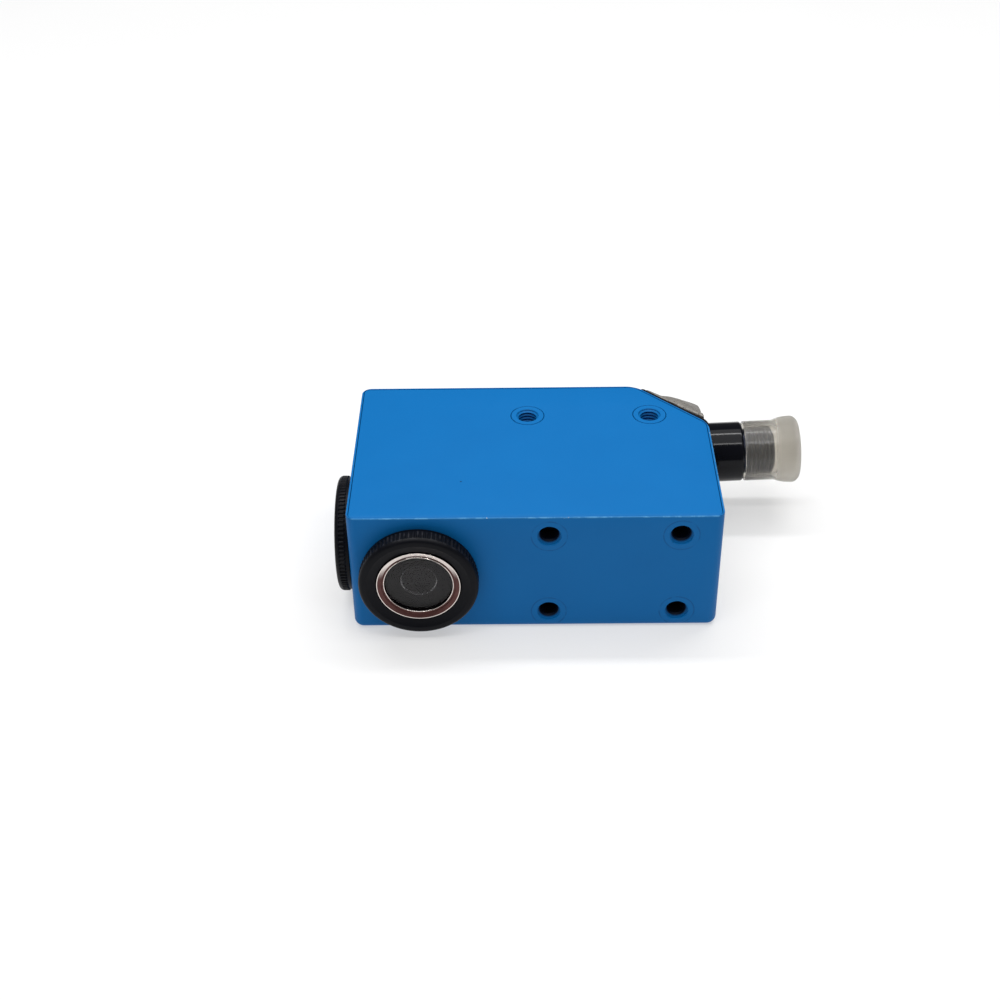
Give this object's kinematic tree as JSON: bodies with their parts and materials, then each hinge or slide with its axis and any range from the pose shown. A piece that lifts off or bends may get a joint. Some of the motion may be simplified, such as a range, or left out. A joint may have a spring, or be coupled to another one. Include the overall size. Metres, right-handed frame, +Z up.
{
  "type": "photoelectric sensor",
  "caption": "Block-shaped photoelectric contrast sensor in a blue die-cast housing, with a knurled lens ring, a blind cap and a swivelling round plug under a soft dust cap.",
  "frame": {"origin": "centre of the housing's flat underside, taken before its corner is cut", "axes": "+X along the housing towards the plug, -Y out of the face with the lens, +Z up out of the cover plate"},
  "size_m": [0.1065, 0.057, 0.0304],
  "materials": {
    "blue_paint": "semi-gloss powder coat",
    "black_anodised": "matt black anodised, knurled rim",
    "black_plastic": "moulded black, matt",
    "glossy_black": "moulded black, glossy",
    "panel_black": "fine grain",
    "key_grey": "soft keys",
    "seal_rubber": "matt",
    "bright_metal": "bright turned",
    "screw_steel": "zinc-plated",
    "thread_metal": "dark nickel, threaded",
    "bare_zinc": "bare zinc die casting, grainy",
    "lens_glass": "coated optical glass",
    "board_green": "solder-masked laminate",
    "chip_black": "moulded epoxy",
    "resin_white": "clear and white resin",
    "lead_sheath": "insulated leads",
    "pin_gold": "gold-plated",
    "amber_guide": "tinted clear",
    "green_guide": "tinted clear",
    "milky_cap": "translucent soft polyethylene"
  },
  "bodies": {
    "housing": {"beam_splitter": "lens_glass", "board_screw_1": "screw_steel", "board_screw_2": "screw_steel", "board_screw_3": "screw_steel", "collimator_lens": "lens_glass", "control_board": "board_green", "control_panel": "panel_black", "cover_gasket": "seal_rubber", "cover_plate": "blue_paint", "cover_screw_1": "screw_steel", "cover_screw_2": "screw_steel", "cover_screw_3": "screw_steel", "cover_screw_4": "screw_steel", "driver_chip": "chip_black", "emitter_board": "board_green", "emitter_leads": "lead_sheath", "emitter_led": "resin_white", "housing_body": "blue_paint", "main_board": "board_green", "mode_switch": "chip_black", "optics_block": "black_plastic", "output_light_guide": "amber_guide", "panel_gasket": "seal_rubber", "panel_leads": "lead_sheath", "panel_screw_1": "screw_steel", "panel_screw_2": "screw_steel", "photodiode": "resin_white", "plug_header": "resin_white", "plug_leads": "lead_sheath", "power_light_guide": "green_guide", "processor_chip": "chip_black", "receiver_board": "board_green", "receiver_leads": "lead_sheath", "receiver_lens": "lens_glass", "swivel_plate": "seal_rubber", "teach_switch": "chip_black"},
    "lens_seal": {"lens_o_ring": "seal_rubber"},
    "lens": {"lens_ring": "black_anodised", "lens_retainer": "bright_metal", "front_lens": "lens_glass", "aperture_tube": "black_anodised"},
    "blind_seal": {"blind_o_ring": "seal_rubber"},
    "blind": {"blind_cap": "black_anodised"},
    "connector": {"swivel_elbow": "bare_zinc", "swivel_o_ring": "seal_rubber", "swivel_clip": "screw_steel", "plug_collar": "glossy_black", "thread_sleeve": "thread_metal", "pin_insert": "black_plastic", "contact_pin_1": "pin_gold", "contact_pin_2": "pin_gold", "contact_pin_3": "pin_gold", "contact_pin_4": "pin_gold", "contact_pin_5": "pin_gold"},
    "cap": {"dust_cap": "milky_cap"},
    "teach_key": {"teach_button": "key_grey"},
    "mode_key": {"mode_button": "key_grey"}
  },
  "joints": [
    {"name": "lens_travel", "type": "slide", "parent": "housing", "child": "lens_seal", "axis": [0, -1, 0], "range_m": [0, 0.00501]},
    {"name": "lens_turn", "type": "hinge", "parent": "lens_seal", "child": "lens", "pos_m": [-0.025, -0.0255, 0.0152], "axis": [0, -1, 0], "range_deg": [0, 1800]},
    {"name": "blind_travel", "type": "slide", "parent": "housing", "child": "blind_seal", "axis": [-1, 0, 0], "range_m": [0, 0.00501]},
    {"name": "blind_turn", "type": "hinge", "parent": "blind_seal", "child": "blind", "pos_m": [-0.04, -0.0105, 0.0152], "axis": [-1, 0, 0], "range_deg": [0, 1800]},
    {"name": "connector_swivel", "type": "hinge", "parent": "housing", "child": "connector", "pos_m": [0.03215, 0.01765, 0.0152], "axis": [-0.7071, -0.7071, 0], "range_deg": [-3.5, 176.5]},
    {"name": "cap_pull", "type": "slide", "parent": "connector", "child": "cap", "axis": [0.9991, 0.0009, 0.0432], "range_m": [0, 0.014]},
    {"name": "teach_press", "type": "slide", "parent": "housing", "child": "teach_key", "axis": [-1, 0, 0], "range_m": [0, 0.0006], "stiffness_N_per_m": 1200, "springref_m": -0.0004},
    {"name": "mode_press", "type": "slide", "parent": "housing", "child": "mode_key", "axis": [-1, 0, 0], "range_m": [0, 0.0006], "stiffness_N_per_m": 1200, "springref_m": -0.0004}
  ],
  "couplings": [
    {"joint": "lens_travel", "follows": "lens_turn", "m_per_rad": 0.00015915},
    {"joint": "blind_travel", "follows": "blind_turn", "m_per_rad": 0.00015915}
  ]
}
